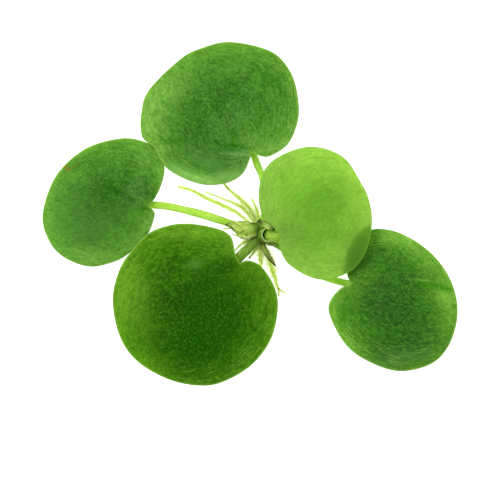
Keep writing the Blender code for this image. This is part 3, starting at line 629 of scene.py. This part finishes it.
def stalk_material():
    """Juicy pale green stalk with long streaks, darker near the crown, with painted shade along its sides."""
    nodes = Nodes(bpy.data.materials.new("stalk"))
    grain = nodes.value("grain", "Vector")
    streaks = nodes.noise(nodes.stretch(grain, 1, 0.16, 1), 3.2, 2, 0.5, (0.35, 0.65))
    blotches = nodes.noise(nodes.stretch(grain, 0.6, 0.35, 1), 1.4, 3, 0.5, (0.35, 0.7))
    colour = nodes.covers(
        nodes.mix(streaks, (184, 226, 72), (214, 246, 118)),
        (nodes.mix(streaks, (88, 144, 16), (146, 196, 54)), "aged"),
        ((132, 178, 52), blotches, 0.25),
        # side: painted shade along the stalk's two sides.
        ((70, 96, 10), "side"),
        ((88, 128, 20), "foot"),
        ((184, 206, 60), "ripe"),
        ((40, 62, 2), "line"),
    )
    normal = nodes.relief(streaks, 0.4, 0.04)
    shader = nodes.surface(colour, nodes.spread(blotches, 0, 1, 0.36, 0.52), normal, 0.22, 0.06)
    return nodes.finish(shader, nodes.mix(0.5, colour, (210, 240, 112)), 0.5, normal)


def crown_material():
    """Fibrous olive tissue with dark brown blots, darker towards the bottom."""
    nodes = Nodes(bpy.data.materials.new("crown"))
    place = nodes.place()
    fibre = nodes.noise(nodes.stretch(place, 3, 3, 1), 1.3, 4, 0.65, (0.35, 0.65))
    blots = nodes.noise(place, 1.1, 3, 0.6, (0.35, 0.62))
    colour = nodes.mix(fibre, (56, 72, 6), (122, 144, 36))
    colour = nodes.covers(colour, ((34, 44, 2), blots, 0.6), ((36, 40, 4), "low"))
    normal = nodes.relief(fibre, 0.7, 0.08)
    return nodes.finish(nodes.surface(colour, nodes.spread(fibre, 0, 1, 0.8, 0.6), normal, 0.15))


def scale_material(name, pale, olive, dark, share):
    """Papery scale: fine nerves, a darker foot, a dark edge and brown specks."""
    nodes = Nodes(bpy.data.materials.new(name))
    nerves = nodes.stretch(nodes.value("grain", "Vector"), 2.2, 0.22, 1)
    nerves = nodes.noise(nerves, 1.6, 3, 0.7, (0.4, 0.6))
    specks = nodes.noise(nodes.place(), 2.2, 3, 0.6, (0.61, 0.7))
    colour = nodes.covers(olive, (pale, nerves), ((104, 134, 34), "foot"), ((208, 230, 150), "lip"),
                          (dark, "dark"), (dark, specks, 0.7))
    normal = nodes.relief(nerves, 0.5, 0.05)
    shader = nodes.surface(colour, nodes.spread(nerves, 0, 1, 0.66, 0.5), normal, 0.2)
    return nodes.finish(shader, nodes.mix(0.4, colour, pale), share, normal)


def root_material():
    """Pale yellow-green root and hairs, with brown specks, closer where the root is worn."""
    nodes = Nodes(bpy.data.materials.new("root"))
    place = nodes.place()
    streaks = nodes.noise(place, 1.8, 3, 0.6, (0.35, 0.65))
    least = nodes.calc("MULTIPLY_ADD", nodes.value("worn"), -0.14, 0.68)
    over = nodes.calc("SUBTRACT", nodes.noise(place, 2.1, 2, 0.6), least)
    bare = nodes.calc("MULTIPLY_ADD", nodes.value("hair"), -0.82, 0.85)
    colour = nodes.covers(
        nodes.mix(streaks, (190, 214, 60), (224, 242, 118)),
        (nodes.mix(streaks, (240, 255, 178), (250, 255, 226)), "hair"),
        ((92, 88, 22), nodes.calc("MULTIPLY", over, 14.0, clamp=True), bare),
        ((34, 38, 8), "tip"),
    )
    normal = nodes.relief(streaks, 0.5, 0.03)
    shader = nodes.surface(colour, 0.55, normal, 0.3)
    return nodes.finish(shader, nodes.mix(0.6, colour, (250, 255, 200)), 0.75, normal)


def floor_material():
    """Matt white board that also glows a little, like a table lit from below."""
    nodes = Nodes(bpy.data.materials.new("floor"))
    fibres = nodes.noise(nodes.place(), 0.4, 3, 0.6)
    colour = nodes.mix(fibres, (0.86, 0.86, 0.86, 1), (0.9, 0.9, 0.9, 1))
    shader = nodes.surface(colour, 0.9, nodes.relief(fibres, 0.1, 0.05), 0.1)
    glow = nodes.add("ShaderNodeEmission", {"Color": (1, 1, 1, 1), "Strength": FLOOR_GLOW})
    return nodes.finish(nodes.add("ShaderNodeAddShader", {0: shader, 1: glow.outputs[0]}).outputs[0])


# Leaf blades.

def mirrored_shares():
    """Where the columns lie across a blade, -1 to 1, closer together at its edges."""
    half = np.concatenate([np.linspace(0, 0.985, BLADE_HALF_COLUMNS + 1), EDGE_SHARES])
    return np.concatenate([-half[:0:-1], half])


def row_shares():
    """Where the rows lie along a blade, 0 to 1 from base to tip, closer together at both ends."""
    ends = np.array(END_SHARES)
    return np.concatenate([[0], ends, np.linspace(0.014, 0.986, BLADE_ROWS + 1), 1 - ends[::-1], [1]])


def blade_plan(blade, along, across):
    """The blade's plan over its rows and columns, its outline, and the half width at each place."""
    base, tip = blade["base"], blade["tip"]
    outline = smooth_curve([base, *blade["left"], tip, *reversed(blade["right"]), base])
    at_tip = CURVE_STEPS * (len(blade["left"]) + 1)
    left = along_curve(outline[:at_tip + 1], along)
    right = along_curve(outline[at_tip:][::-1], along)
    middle = along_curve(np.array([base, tip], float), along)[:, None]
    side = np.where(across[None, :, None] < 0, left[:, None], right[:, None])
    plan = middle + np.abs(across)[None, :, None] * (side - middle)
    return plan, outline, np.linalg.norm(side - middle, axis=-1)


def edge_distance(plan, outline):
    """How far each place in the plan is from the blade's outline."""
    dense = along_curve(outline, np.linspace(0, 1, OUTLINE_STEPS))
    tree = kdtree.KDTree(len(dense))
    for number, point in enumerate(dense):
        tree.insert((*point, 0), number)
    tree.balance()
    flat = [tree.find((*point, 0))[2] for point in plan.reshape(-1, 2)]
    return np.array(flat).reshape(plan.shape[:2])


def blot(plan, spots, crisp=1):
    """The sum of the oval spots, up to 1. crisp over 1 gives them a clearer edge."""
    total = np.zeros(plan.shape[:-1])
    for x, y, first_radius, second_radius, turn, strength in spots:
        cos, sin = math.cos(math.radians(turn)), math.sin(math.radians(turn))
        away = plan - np.array((x, y))
        first = (away[..., 0] * cos + away[..., 1] * sin) / first_radius
        second = (away[..., 1] * cos - away[..., 0] * sin) / second_radius
        total += strength * np.exp(-(first**2 + second**2) ** crisp)
    return np.clip(total, 0, 1)


def fold_depth(plan, folds):
    """How deep the blade is creased at each place."""
    total = np.zeros(plan.shape[:-1])
    for start, end, width, depth in folds:
        start, end = np.array(start), np.array(end)
        span = end - start
        share = np.clip(((plan - start) @ span) / (span @ span), 0, 1)
        away = np.linalg.norm(plan - start - share[..., None] * span, axis=-1)
        total += depth * np.exp(-(away / width) ** 2) * np.sin(np.pi * np.clip(share, 0.04, 0.96)) ** 0.5
    return total


def vein_pattern(across, along, vein_count):
    """1 on the veins, and 1 on the veins and the ends of the cells. along is counted in cells."""
    phase = np.abs(across) * vein_count
    vein = (0.5 + 0.5 * np.cos(2 * math.pi * phase)) ** 2
    stagger = np.sin(np.floor(phase + 0.5) * 12.9898) * 43.758
    cross = 0.5 + 0.5 * np.cos(2 * math.pi * (along[:, None] + stagger))
    return vein, np.maximum(vein, cross**4)


def main_veins(across):
    """1 along the middle of each main vein, falling to 0 beside it."""
    nearest = np.min([np.abs(np.abs(across) - place) for place in MAIN_VEINS], axis=0)
    return np.exp(-(nearest / MAIN_VEIN_WIDTH) ** 2)


def sponge(plan):
    """Round cells of the spongy underside, 0 between them and 1 on their tops."""
    bent = plan + 0.35 * lay_out(lumps(plan, 1.6, 3), lumps(plan, 1.6, 4))
    wave = 2 * math.pi / (SPONGE_SIZE * math.sqrt(3) / 2)
    total = sum(np.cos(wave * (bent[..., 0] * math.cos(turn) + bent[..., 1] * math.sin(turn)))
                for turn in (0, math.pi / 3, 2 * math.pi / 3))
    return np.clip((total + 1.5) / 4.5, 0, 1) ** 0.7


def blade_surfaces(blade, plan, along, across, half_width, edge, length, vein_count):
    """The heights of the blade's top and underside, and how full and open it is at each place."""
    level = blade.get("level", 0.0)
    full = np.clip(np.sin(math.pi * along)[:, None] ** 0.8 * (1 - across**2), 0, 1)
    dish = np.clip(1 - full - FLAT_SHARE, 0, 1) / (1 - FLAT_SHARE)
    from_base = np.linalg.norm(plan - np.array(blade["base"]), axis=-1)
    lift = blade["base_lift"] * bump(from_base, blade["base_reach"])
    under = level + blade["rim"] * dish**DISH_POWER + lift
    top = under + CAD_RIM_THICKNESS + (PAD_THICKNESS - CAD_RIM_THICKNESS) * full**PAD_POWER
    under = under + (CAD_RIM_THICKNESS - RIM_THICKNESS) * (1 - full) ** 2

    inner = 1 - np.exp(-edge / 0.5)
    open_share = np.clip(half_width / half_width.max(), 0, 1)
    vein, cell = vein_pattern(across, along * length / CELL_LENGTH, vein_count)
    fade = inner * limit(0.15, 0.35, open_share)
    soft = WAVE_DEPTH * (lumps(plan, WAVE_SIZE, 1) + 0.35 * lumps(plan, WAVE_SIZE * 0.35, 2))
    soft = (soft + RIM_WAVE_DEPTH * np.exp(-edge / 2.0) * lumps(plan, 3.2, 5)) * inner
    veins = fade * (VEIN_DEPTH * vein + MAIN_VEIN_DEPTH * main_veins(across))
    creases = fold_depth(plan, blade.get("folds", []))
    top = top + soft - creases - veins - fade * CELL_DEPTH * cell
    hollows = SPONGE_DEPTH * limit(0.2, 0.4, full) * (1 - sponge(plan))
    under = np.maximum(under + soft * 0.6 - creases * 0.7 - veins + hollows, level)

    # The edge is rounded: both faces meet halfway.
    middle, half = (top + under) / 2, (top - under) / 2
    rounded = np.sqrt(1 - (1 - np.clip(edge / LIP, 0, 1)) ** 2)
    return middle + half * rounded, middle - half * rounded, full, open_share


def add_blade(name, blade):
    across, along = mirrored_shares(), row_shares()
    plan, outline, half_width = blade_plan(blade, along, across)
    edge = edge_distance(plan, outline)
    length = np.linalg.norm(np.array(blade["tip"]) - np.array(blade["base"]))
    widest = half_width.max()
    vein_count = round(widest / VEIN_SPACING)
    top, under, full, open_share = blade_surfaces(
        blade, plan, along, across, half_width, edge, length, vein_count)
    wavy = plan + 0.35 * lay_out(lumps(plan, 2.2, 31), lumps(plan, 2.2, 32))
    near_edge = np.exp(-edge / (1.1 + 0.5 * lumps(plan, 4.0, 8)))
    grids = fill(
        top.shape,
        grain=lay_out(across * widest, along[:, None] * length, 0.0),
        lanes=lay_out(across * vein_count, along[:, None] * length / CELL_LENGTH, 0.0),
        rim=0.5 * near_edge + 0.5 * np.exp(-((edge / 5.0) ** 1.5)),
        full=full,
        spread=open_share,
        vein_phase=np.abs(across) * vein_count,
        margin=np.exp(-((edge / 0.2) ** 2)) * 0.7,
        # deep: darker patches, and painted shade in the creases of the folds.
        deep=blot(wavy, blade["deep"], 2.5),
        pale=blot(plan, blade["pale"]) * (0.78 + 0.35 * lumps(plan, 1.2, 6)),
        # over: painted shade where one leaf lies over another.
        over=blot(plan, blade.get("over", []), 20),
        # dim darkens the tissue, at one spot as painted shadow; the sheen spots are painted sheen of
        # reflected light.
        **{label: blot(plan, blade.get(label, [])) for label in ("dim", "painted_sheen", "scar")},
    )
    # The columns go over the top and back under it, without the two edges that the faces share.
    values = {label: np.concatenate([grid, grid[:, -2:0:-1]], axis=1) for label, grid in grids.items()}
    values["under"] = np.repeat([[0.0] * len(across) + [1.0] * (len(across) - 2)], len(along), axis=0)
    points = np.concatenate([np.dstack([plan, top]), np.dstack([plan, under])[:, -2:0:-1]], axis=1)
    add_piece(name, points, closed_faces(points), leaf_material(name, blade), values)


# Stalks, roots and the crown.

def frames_along(line):
    """Two directions across the line at each point, turning as little as they can."""
    ahead = np.gradient(line, axis=0)
    ahead /= np.linalg.norm(ahead, axis=1)[:, None]
    first = []
    aside = np.array([0.0, 0.0, 1.0])
    for forward in ahead:
        aside = np.cross(np.cross(forward, aside), forward)
        aside = aside / np.linalg.norm(aside)
        first.append(aside)
    return np.array(first), np.cross(ahead, first)


def tube(path, radius_at, sides, spacing, shape):
    """A tube with rounded ends. shape(share, angle) scales its radius. Angle 0 is its upper side."""
    curve = smooth_curve(path)
    length = lengths_along(curve)[-1]
    shares = np.linspace(0, 1, max(8, round(length / spacing)) + 1)
    line = along_curve(curve, shares)
    first, second = frames_along(line)
    angles = np.linspace(0, 2 * math.pi, sides, endpoint=False)
    radius = radius_at(shares)
    from_end = np.minimum(shares, 1 - shares) * length
    rounded = np.sqrt(np.clip(1 - (1 - np.clip(from_end / np.maximum(radius, 1e-3), 0, 1)) ** 2, 0.0004, 1))
    across = (radius * rounded)[:, None] * shape(shares[:, None], angles)
    ring = np.cos(angles)[:, None] * first[:, None] + np.sin(angles)[:, None] * second[:, None]
    points = line[:, None] + across[..., None] * ring
    index = np.arange(points.shape[0] * sides).reshape(-1, sides)
    faces = grid_faces(index, wraps=True) + [index[0, ::-1].tolist(), index[-1].tolist()]
    return points, faces, shares, angles, length


def from_top(angle):
    """The angle from the upper side of a stalk, at most half a turn either way."""
    return (angle + math.pi) % (2 * math.pi) - math.pi


def grooves(angle, width):
    """1 in the middle of each groove of the front stalk, falling to 0 beside it."""
    return sum(np.exp(-((from_top(angle) - groove) / width) ** 2) for groove in FRONT_GROOVES)


def add_stalk(name, stalk, material):
    """A stalk with fine ribs, a shallow channel along its top, and a broader foot."""
    start, middle, end = stalk["radii"]
    front, young = name == "petiole_front", name == "petiole_young"
    ribs = 9 if front else 11

    def radius_at(share):
        return np.interp(share, (0, 0.12, 0.5, 0.85, 1), (start, start, middle, middle * 0.85, end))

    def shape(share, angle):
        made = 1 + 0.035 * np.cos(ribs * angle + 0.6 * np.sin(9 * share))
        made = made - 0.06 * np.exp(-(from_top(angle) / 0.3) ** 2)
        if young:
            made = made + (0.1 + 0.14 * np.clip(share / 0.3, 0, 1)) * np.sin(angle) ** 2
        if front:
            made = made - 0.06 * grooves(angle, 0.12)
        return made + 0.03 * np.sin(17 * share + 1) + 0.02 * np.sin(41 * share)

    points, faces, shares, angles, length = tube(
        stalk["path"], radius_at, STALK_SIDES, STALK_SPACING, shape)
    shares = shares[:, None]
    # Painted shade: both sides of the stalk are darkened, as a round stalk looks from above.
    side = limit(0.82, 0.16, np.abs(np.sin(angles))) * (0.75 + 0.25 * np.sin(5 * shares))
    patchy = 0.75 + 0.35 * np.sin(14 * shares + 1) * np.cos(3 * angles)
    values = fill(
        points.shape[:2],
        aged=stalk["age"],
        grain=lay_out(angles * middle, shares * length, 1.0),
        side=side * stalk["painted_side_shade"],
        foot=np.exp(-shares * length / (0.5 if young else 1.6)),
        ripe=limit(0.52, 0.12, shares) * 0.6 if front else 0.0,
        line=np.clip(grooves(angles, 0.13) * patchy, 0, 1) if front else 0.0,
    )
    add_piece(name, points, faces, material, values)


def hairs(line, core, reach, count, rng):
    """Tapering hairs all round a root, each a three-sided sliver that bends a little."""
    shares = rng.uniform(0.03, 0.995, count)
    steps = np.linspace(0, 1, len(line))
    root, aside, other = [np.stack([np.interp(shares, steps, numbers) for numbers in vectors.T], axis=1)
                          for vectors in (line, *frames_along(line))]
    ahead = np.cross(aside, other)
    angle = rng.uniform(0, 2 * math.pi, count)[:, None]
    out = np.cos(angle) * aside + np.sin(angle) * other
    lean = rng.normal(0.35, 0.45, count)[:, None]
    way = (out + lean * ahead) * (1, 1, 0.7)
    way /= np.linalg.norm(way, axis=1)[:, None]
    inner = core(shares)[:, None] * 0.9
    length = (reach(shares)[:, None] - inner) * rng.uniform(0.4, 1.1, count)[:, None]
    foot = root + inner * out
    bend = rng.normal(0, 0.25, (count, 3)) * length
    middle = foot + 0.55 * length * way + 0.3 * bend
    around = np.cross(way, ahead)
    around /= np.linalg.norm(around, axis=1)[:, None] + 1e-9
    beside = np.cross(way, around)
    points = np.zeros((count, 7, 3))
    for number, turn in enumerate((0, 2.094, 4.189)):
        offset = HAIR_THICKNESS * (math.cos(turn) * around + math.sin(turn) * beside)
        points[:, number] = foot + offset
        points[:, 3 + number] = middle + 0.75 * offset
    points[:, 6] = foot + length * way + bend
    points[..., 2] = np.maximum(points[..., 2], 0.005)
    pattern = [(0, 1, 4, 3), (1, 2, 5, 4), (2, 0, 3, 5), (3, 4, 6), (4, 5, 6), (5, 3, 6)]
    faces = [[7 * hair + corner for corner in face] for hair in range(count) for face in pattern]
    return points.reshape(-1, 3), faces, np.repeat(shares, 7)


def root_parts(path, radii, fluff, rng):
    """The core and the hairs of a root: points, faces, their shares of the length, and which are hair."""
    def radius(share):
        return np.interp(share, (0, 0.5, 1), radii)

    def core(share):
        return ROOT_CORE_SHARE * radius(share)

    def reach(share):
        return HAIR_REACH * radius(share) + 0.08 + fluff * np.exp(-((share - 0.3) / 0.3) ** 2)

    def shape(share, angle):
        return 1 + 0.12 * np.sin(60 * share + 2 * np.sin(angle)) + 0.07 * np.cos(3 * angle + 25 * share)

    points, faces, shares, angles, length = tube(path, core, ROOT_SIDES, ROOT_SPACING, shape)
    wander = lay_out(*[lumps(points.mean(axis=1) * (1, 1, 0), 1.3, seed) for seed in (21, 22)])
    points[..., :2] += 0.12 * (np.sin(math.pi * shares)[:, None] * wander)[:, None]
    count = round(length * HAIRS_PER_MM * (1.3 + 0.2 * fluff))
    hair_points, hair_faces, hair_shares = hairs(points.mean(axis=1), core, reach, count, rng)
    points = points.reshape(-1, 3)
    faces = faces + [[len(points) + corner for corner in face] for face in hair_faces]
    where = np.concatenate([np.repeat(shares, len(angles)), hair_shares])
    is_hair = np.concatenate([np.zeros(len(points)), np.ones(len(hair_points))])
    return np.vstack([points, hair_points]), faces, where, is_hair


def add_root(name, root, material, rng):
    points, faces, where, is_hair = root_parts(root["path"], root["radii"], root.get("fluff", 0.0), rng)
    if "fork" in root:
        more, more_faces, more_where, more_hair = root_parts(root["fork"], root["fork_radii"], 0.0, rng)
        faces = faces + [[len(points) + corner for corner in face] for face in more_faces]
        points = np.vstack([points, more])
        where = np.concatenate([where, more_where])
        is_hair = np.concatenate([is_hair, more_hair])
    values = dict(
        worn=np.clip(1.2 - where, 0.35, 1) * root.get("worn", 0.3),
        tip=limit(0.86, 0.04, where) if name == "root_stub" else 0 * where,
        hair=is_hair,
    )
    add_piece(name, points, faces, material, values, outward=False)


def add_crown(material):
    """The short stem, lumpy and fibrous, with the torn feet of old scales round it."""
    heights = np.linspace(0, math.pi, CROWN_ROWS + 1)[:, None]
    angles = np.linspace(0, 2 * math.pi, CROWN_COLUMNS, endpoint=False)
    ball = lay_out(np.sin(heights) * np.cos(angles), np.sin(heights) * np.sin(angles), np.cos(heights))
    rough = 1 + 0.07 * np.cos(5 * angles) * np.sin(heights)
    rough = rough * (1 + 0.05 * np.sin(26 * angles + 3 * np.sin(4 * angles)) * np.sin(heights))
    rough = rough * (1 + 0.1 * lumps(ball, 0.35, 9))
    points = ball * np.array(CROWN_RADII) * rough[..., None] + np.array(CROWN_CENTRE)
    points[..., 2] = np.maximum(points[..., 2], CROWN_LOWEST)
    low = np.clip((1.6 - points[..., 2]) / 1.2, 0, 1)
    add_piece("crown", points, closed_faces(points), material, dict(low=low))


# Scales and the collar.

def sheet_rows(rows):
    """A smooth grid through a few rows of given points."""
    lines = [along_curve(smooth_curve(row), np.linspace(0, 1, SHEET_COLUMNS + 1)) for row in rows]
    shares = np.linspace(0, 1, SHEET_ROWS + 1)
    return np.stack([along_curve(smooth_curve(column), shares) for column in zip(*lines)], axis=1)


def sheet_normals(grid):
    made = np.cross(np.gradient(grid, axis=0), np.gradient(grid, axis=1))
    return made / (np.linalg.norm(made, axis=-1)[..., None] + 1e-12)


def add_sheet(name, grid, thickness, values, material):
    """A closed thin sheet from its middle surface, with an edge that thins out."""
    rows, columns = grid.shape[:2]
    thin = np.sqrt(np.clip(1 - np.abs(np.linspace(-1, 1, columns)) ** 8, 0.02, 1))
    thin = thin * np.sqrt(np.clip(1 - np.linspace(0, 1, rows) ** 10, 0.02, 1))[:, None]
    half = sheet_normals(grid) * (thickness / 2 * thin)[..., None]
    index = np.arange(rows * columns).reshape(rows, columns)
    faces = grid_faces(index) + [face[::-1] for face in grid_faces(index + index.size)]
    rim = [*index[0, :-1], *index[:-1, -1], *index[-1, :0:-1], *index[:0:-1, 0]]
    for here, after in zip(rim, rim[1:] + rim[:1]):
        faces.append([int(here), int(after), int(after + index.size), int(here + index.size)])
    doubled = {label: [numbers, numbers] for label, numbers in fill(grid.shape[:2], **values).items()}
    add_piece(name, [grid + half, grid - half], faces, material, doubled)


def add_scale(name, rows, material):
    """A papery scale with fine nerves, a wavy edge and a crumpled tip."""
    grid = sheet_rows(rows)
    across = np.linspace(-1, 1, SHEET_COLUMNS + 1)
    down = np.linspace(0, 1, SHEET_ROWS + 1)[:, None]
    nerves = 0.03 * np.cos(SCALE_NERVES[name] * math.pi * across)
    nerves = nerves + 0.09 * np.sin(2.4 * math.pi * across + 0.7)
    edge_wave = 0.1 * np.abs(across) ** 3 * np.sin(15 * down + 2) * np.clip(down * 3, 0, 1)
    rise = nerves * np.sin(math.pi * down) + edge_wave + 0.07 * lumps(grid, 0.9, 11)
    grid = grid + sheet_normals(grid) * rise[..., None]
    width = np.linalg.norm(grid[:, -1] - grid[:, 0], axis=1)[:, None]
    margin = np.exp(-((1 - np.abs(across)) * width / 2 / 0.14) ** 2)
    dark = margin * 0.9 + limit(0.88, 0.08, down) * 0.8 + blot(grid[..., :2], SCALE_SPOTS)
    values = dict(
        grain=lay_out(across * width / 2, down * 6.0, 1.0),
        dark=np.clip(dark + SCALE_GLOOM[name], 0, 1),
        foot=np.clip(1 - down / 0.3, 0, 1) * 0.7,
        lip=0.0,
    )
    add_sheet(name, grid, SCALE_THICKNESS, values, material)


def add_collar(material):
    """The pale collar round the young leaf's stalk, open on one side, with a thin torn lip."""
    angles = np.linspace(COLLAR_OPENING, 2 * math.pi - COLLAR_OPENING, COLLAR_COLUMNS + 1)
    shares = np.linspace(0, 1, COLLAR_ROWS + 1)[:, None]
    lip = 0.12 * np.sin(3 * angles + 0.8) + 0.05 * np.sin(11 * angles) + 0.03 * np.sin(23 * angles)
    drop = 0.9 * (1 - np.clip(np.cos((angles - math.pi) * 0.5), 0, 1) ** 0.6)
    centre = COLLAR_FOOT + shares * (COLLAR_LIP - COLLAR_FOOT)
    x, y, z = [centre[:, axis, None] for axis in range(3)]
    radius = COLLAR_FOOT_RADIUS + (COLLAR_LIP_RADIUS - COLLAR_FOOT_RADIUS) * shares
    radius = radius + 0.025 * np.cos(24 * angles) + 0.07 * np.sin(math.pi * shares) + 0.12 * shares**8
    grid = lay_out(x + radius * np.cos(angles), y + radius * np.sin(angles), z + (lip - drop) * shares)
    values = dict(
        grain=lay_out(angles * COLLAR_LIP_RADIUS, shares * 2.2, 1.0),
        dark=0.3 * np.clip(1 - shares / 0.3, 0, 1),
        foot=np.clip(1 - shares / 0.75, 0, 1) * 0.55,
        lip=limit(0.88, 0.05, shares),
    )
    add_sheet("sheath", grid, COLLAR_THICKNESS, values, material)


# Table, light and camera.

def add_floor():
    mesh = bpy.data.meshes.new("table")
    shape = bmesh.new()
    bmesh.ops.create_grid(shape, x_segments=8, y_segments=8, size=FLOOR_SIZE)
    shape.to_mesh(mesh)
    shape.free()
    mesh.materials.append(floor_material())
    floor = add_object("table", mesh)
    floor.location = (0, 0, -0.0001)


def add_softbox(name, place, size, power):
    """A square light that points at the plant."""
    light = bpy.data.lights.new(name, "AREA")
    light.size = size
    light.energy = power
    lamp = add_object(name, light)
    lamp.location = place
    lamp.rotation_euler = (-Vector(place)).to_track_quat("-Z", "Y").to_euler()


def add_world():
    """A pale studio: bright low down all round, greyer straight above."""
    world = bpy.data.worlds.new("studio")
    nodes = Nodes(world)
    way = nodes.add("ShaderNodeTexCoord").outputs["Generated"]
    height = nodes.add("ShaderNodeSeparateXYZ", {0: way}).outputs["Z"]
    level = nodes.spread(height, 0.05, 0.8, 0.6, 0.06)
    back = nodes.add("ShaderNodeBackground", {"Color": (1, 1, 1, 1), "Strength": level})
    nodes.add("ShaderNodeOutputWorld", {"Surface": back.outputs[0]})
    bpy.context.scene.world = world


def add_camera():
    """Straight down from above, with the photograph's frame."""
    view = bpy.data.cameras.new("camera")
    view.lens = LENS
    view.sensor_width = SENSOR
    view.sensor_fit = "HORIZONTAL"
    view.clip_start = 0.01
    view.clip_end = 10
    distance = PHOTO_WIDTH * PIXEL_MM * LENS / SENSOR
    camera = add_object("camera", view)
    camera.location = (VIEW_CENTRE[0] * MM, VIEW_CENTRE[1] * MM, (VIEW_HEIGHT + distance) * MM)
    bpy.context.scene.camera = camera


def build():
    rng = np.random.default_rng(SEED)
    for name, blade in BLADES.items():
        add_blade(name, blade)
    stalk = stalk_material()
    for name, shape in STALKS.items():
        add_stalk(name, shape, stalk)
    root = root_material()
    for name, shape in ROOTS.items():
        add_root(name, shape, root, rng)
    add_crown(crown_material())
    scale = scale_material("scale", (236, 250, 160), (176, 208, 76), (22, 28, 2), 0.6)
    for name, rows in SCALES.items():
        add_scale(name, rows, scale)
    add_collar(scale_material("collar", (160, 196, 80), (116, 158, 42), (40, 60, 4), 0.45))
    add_floor()
    add_world()
    add_softbox("key", (-0.35, 0.35, 0.5), 0.45, 6.0)
    add_softbox("fill", (0.45, -0.3, 0.4), 0.5, 2.5)
    add_camera()
    bpy.context.scene.view_settings.view_transform = "Standard"


build()
